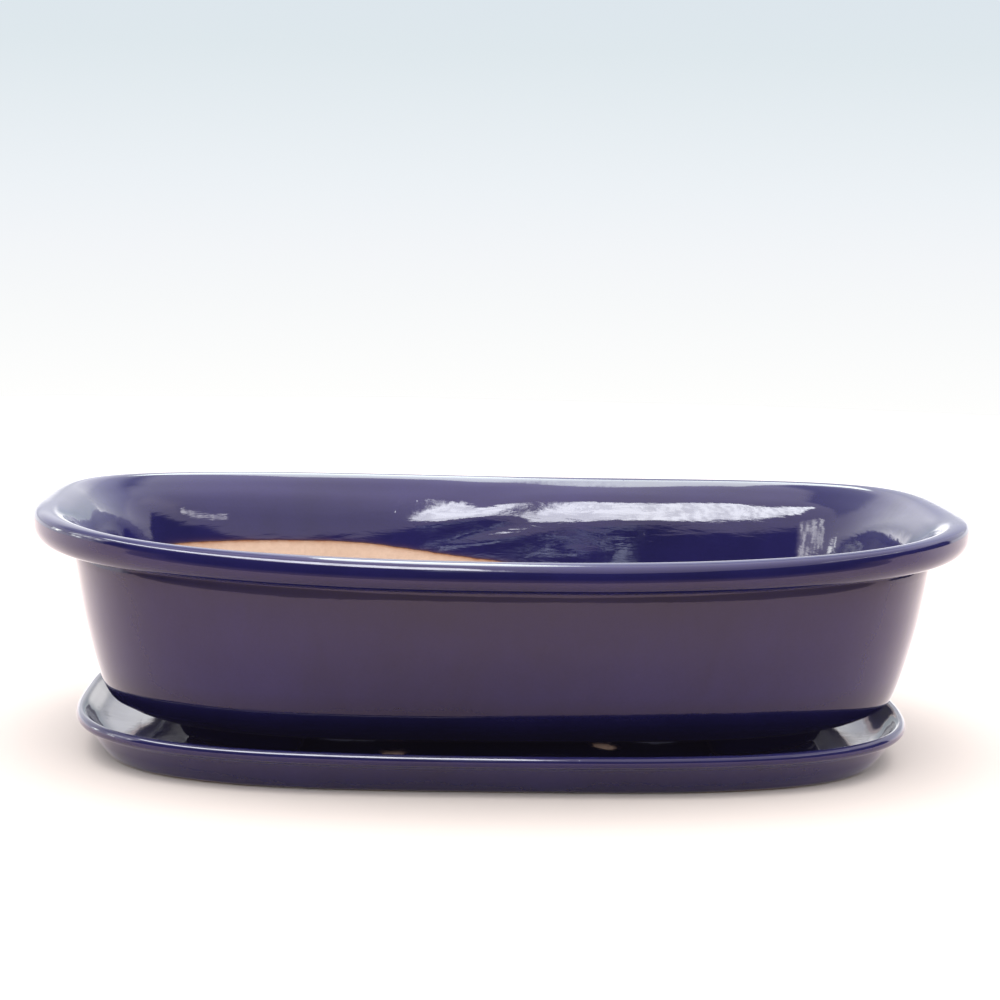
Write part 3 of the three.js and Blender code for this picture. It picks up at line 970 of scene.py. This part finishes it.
def dome_patch(name, az0, az1, low, high, strength, color=(1, 1, 1), soft=2.0, radius=2.5, centre=(0, 0, 0.06), diffuse=False,
               sides="lrtb", streaks=0.0):
    """A glowing patch of the studio's shell. az is turned from -Y toward +X, the elevations low and high are numbers or
    lists of (az, el), all in degrees. Its edges fade over 'soft' degrees."""
    def curve(v, az):
        if isinstance(v, (int, float)):
            return float(v)
        return float(np.interp(az, [p[0] for p in v], [p[1] for p in v]))

    na, ne = max(16, int((az1 - az0) / 0.75)), 28
    vs, fs, w = [], [], []
    for j in range(ne + 1):
        for i in range(na + 1):
            az = az0 + (az1 - az0) * i / na
            lo_, hi_ = curve(low, az), curve(high, az)
            el = lo_ + (hi_ - lo_) * j / ne
            e_, a_ = math.radians(el), math.radians(az)
            vs.append((centre[0] + radius * math.cos(e_) * math.sin(a_), centre[1] - radius * math.cos(e_) * math.cos(a_), centre[2] + radius * math.sin(e_)))
            d = min(az - az0 if "l" in sides else 99, az1 - az if "r" in sides else 99, hi_ - el if "t" in sides else 99, el - lo_ if "b" in sides else 99)
            k = 1.0
            if streaks:
                k = 1 - streaks * float(np.clip(0.5 + 1.6 * noise.noise(Vector((az * 0.45, el * 0.22, 7.7))), 0, 1))
            w.append(float(smooth(0, soft, d)) * k)
    for j in range(ne):
        for i in range(na):
            q = j * (na + 1) + i
            fs.append((q, q + 1, q + na + 2, q + na + 1))
    me = bpy.data.meshes.new(name)
    me.from_pydata(vs, [], fs)
    mt = bpy.data.materials.new(name)
    mt.use_nodes = True
    nt = mt.node_tree
    nt.nodes.clear()
    out = nt.nodes.new("ShaderNodeOutputMaterial")
    em = nt.nodes.new("ShaderNodeEmission")
    em.inputs[0].default_value = (*color, 1)
    em.inputs[1].default_value = strength
    tr = nt.nodes.new("ShaderNodeBsdfTransparent")
    mx = nt.nodes.new("ShaderNodeMixShader")
    at = nt.nodes.new("ShaderNodeAttribute")
    at.attribute_name = "w"
    nt.links.new(at.outputs["Fac"], mx.inputs[0])
    nt.links.new(tr.outputs[0], mx.inputs[1])
    nt.links.new(em.outputs[0], mx.inputs[2])
    nt.links.new(mx.outputs[0], out.inputs[0])
    me.materials.append(mt)
    ob = bpy.data.objects.new(name, me)
    bpy.context.scene.collection.objects.link(ob)
    set_float(ob, "w", w)
    ob.visible_camera = False
    ob.visible_diffuse = diffuse
    ob.visible_shadow = False
    return ob


dome_patch("stage_room_front", -68, 118, -3, 19, 0.30, (0.92, 0.95, 1.0), soft=6, sides="lrt", radius=2.45, diffuse=True)
dome_patch("stage_room_dark", -86, 118, -3, [(-86, 29), (0, 28), (10, 20), (50, 20), (66, 25), (118, 24)], 0.10, (0.92, 0.95, 1.0), soft=4, sides="lrt", radius=2.42)
dome_patch("stage_window_left", -113, 5.0, [(-113, 42), (-96, 40), (-72, 37), (-28, 34), (5, 32)], [(-113, 47), (-96, 50), (-72, 54), (-50, 62), (-28, 66), (7, 66)], 19.5, (0.96, 1.11, 1.02), soft=2.5, radius=2.35, streaks=0.35)
dome_patch("stage_window_low", -5.0, 3.5, [(-5, 16), (3.5, 12)], [(-5, 33), (0, 27), (3.5, 20)], 3.0, (0.85, 1.06, 1.15), soft=3.5, radius=2.34, streaks=1.0)
dome_patch("stage_light_back", 169.5, 188, [(169.5, 50), (176, 28), (183, 28), (185.5, 50)], 64, 7.0, (1.0, 1.12, 1.02), soft=2.5, radius=2.35)
dome_patch("stage_lamp_right", 52, 88, [(52, 28), (88, 28.5)], [(52, 32.5), (88, 32.5)], 8.0, (1.0, 1.1, 1.0), soft=1.4, radius=2.3, streaks=0.5)
dome_patch("stage_lamp_left", -111, -86, 12, 31, 8.0, (1.0, 1.1, 1.0), soft=1.5, radius=2.3, streaks=0.9)
dome_patch("stage_spot_left_a", -126, -116, 3, 14, 10.0, (1.0, 1.1, 1.0), soft=2.0, radius=2.3, streaks=0.8)
dome_patch("stage_spot_left_b", -107, -98, 0, 9, 10.0, (1.0, 1.1, 1.0), soft=2.0, radius=2.3, streaks=0.8)
dome_patch("stage_side_left", -176, -88, -5, 10, 2.0, soft=4, sides="lrt", radius=2.48)
dome_patch("stage_side_right", 98, 174, -5, 10, 2.0, soft=4, sides="lrt", radius=2.48)
dome_patch("stage_side_right_high", 86, 136, 22, 46, 2.0, soft=14, radius=2.46)
dome_patch("stage_back_dim", 146, 175.5, 8, 44, 0.55, (0.95, 0.98, 1.05), soft=9, radius=2.44)
dome_patch("stage_back_low", 140, 179, 6, 36, 1.15, (0.95, 0.98, 1.05), soft=9, radius=2.43)
dome_patch("stage_back_left_dim", 184, 238, 25, 58, 0.85, (0.95, 0.98, 1.05), soft=6, radius=2.44)
sky = dome_patch("stage_sky_soft", -180, 180, 32, 89.5, 2.95, (1.0, 0.985, 0.97), soft=12, sides="b", radius=2.5, diffuse=True)
sky.visible_glossy = False

world = bpy.data.worlds.new("studio")
bpy.context.scene.world = world
world.use_nodes = True
nt = world.node_tree
tc = nt.nodes.new("ShaderNodeTexCoord")
sep = nt.nodes.new("ShaderNodeSeparateXYZ")
nt.links.new(tc.outputs["Generated"], sep.inputs[0])
STOPS = [
    (-0.0837, (1.0, 1.0, 0.99)), (-0.0436, (0.93, 0.945, 0.955)), (-0.0244, (0.90, 0.92, 0.945)), (0.0, (0.85, 0.89, 0.925)),
    (0.054, (0.737, 0.807, 0.847)), (0.080, (0.72, 0.79, 0.845)), (0.150, (1.10, 1.13, 1.17)), (0.205, (1.65, 1.68, 1.70)),
    (0.30, (1.50, 1.52, 1.55)), (0.48, (1.40, 1.42, 1.45)), (0.707, (1.75, 1.78, 1.82)), (0.94, (2.3, 2.32, 2.36)),
]
ramp = ramp_node(nt, map_range(nt, sep.outputs[2], -0.1, 1.0, 0.0, 1.0), [((z + 0.1) / 1.1, tuple(v / 3.0 for v in c)) for z, c in STOPS])
bg = nt.nodes["Background"]
nt.links.new(ramp.outputs[0], bg.inputs[0])
bg.inputs[1].default_value = 3.0

# ------------------------------------------------------------------ camera
PSI, PHI, HC, DC, X0, FPX, ROLL = 0.0615, 0.1238, 0.2188, 1.001, -0.0002, 2506.0, 0.020
cp, sp_ = math.cos(PSI), math.sin(PSI)
loc = Vector((cp * X0 - sp_ * DC, -sp_ * X0 - cp * DC, HC))
fwd = Vector((sp_ * math.cos(PHI), cp * math.cos(PHI), -math.sin(PHI)))
right0 = Vector((cp, -sp_, 0))
up0 = right0.cross(fwd)
cr, sr = math.cos(ROLL), math.sin(ROLL)
right = right0 * cr + up0 * sr
up = up0 * cr - right0 * sr
cam = bpy.data.cameras.new("camera")
cam.sensor_width = 36
cam.lens = FPX * 36 / 1000
cam.clip_start, cam.clip_end = 0.05, 50
cam_ob = bpy.data.objects.new("camera", cam)
bpy.context.scene.collection.objects.link(cam_ob)
cam_ob.matrix_world = Matrix((
    (right.x, up.x, -fwd.x, loc.x),
    (right.y, up.y, -fwd.y, loc.y),
    (right.z, up.z, -fwd.z, loc.z),
    (0, 0, 0, 1),
))
bpy.context.scene.camera = cam_ob
bpy.context.scene.view_settings.view_transform = "Standard"
bpy.context.scene.view_settings.look = "None"
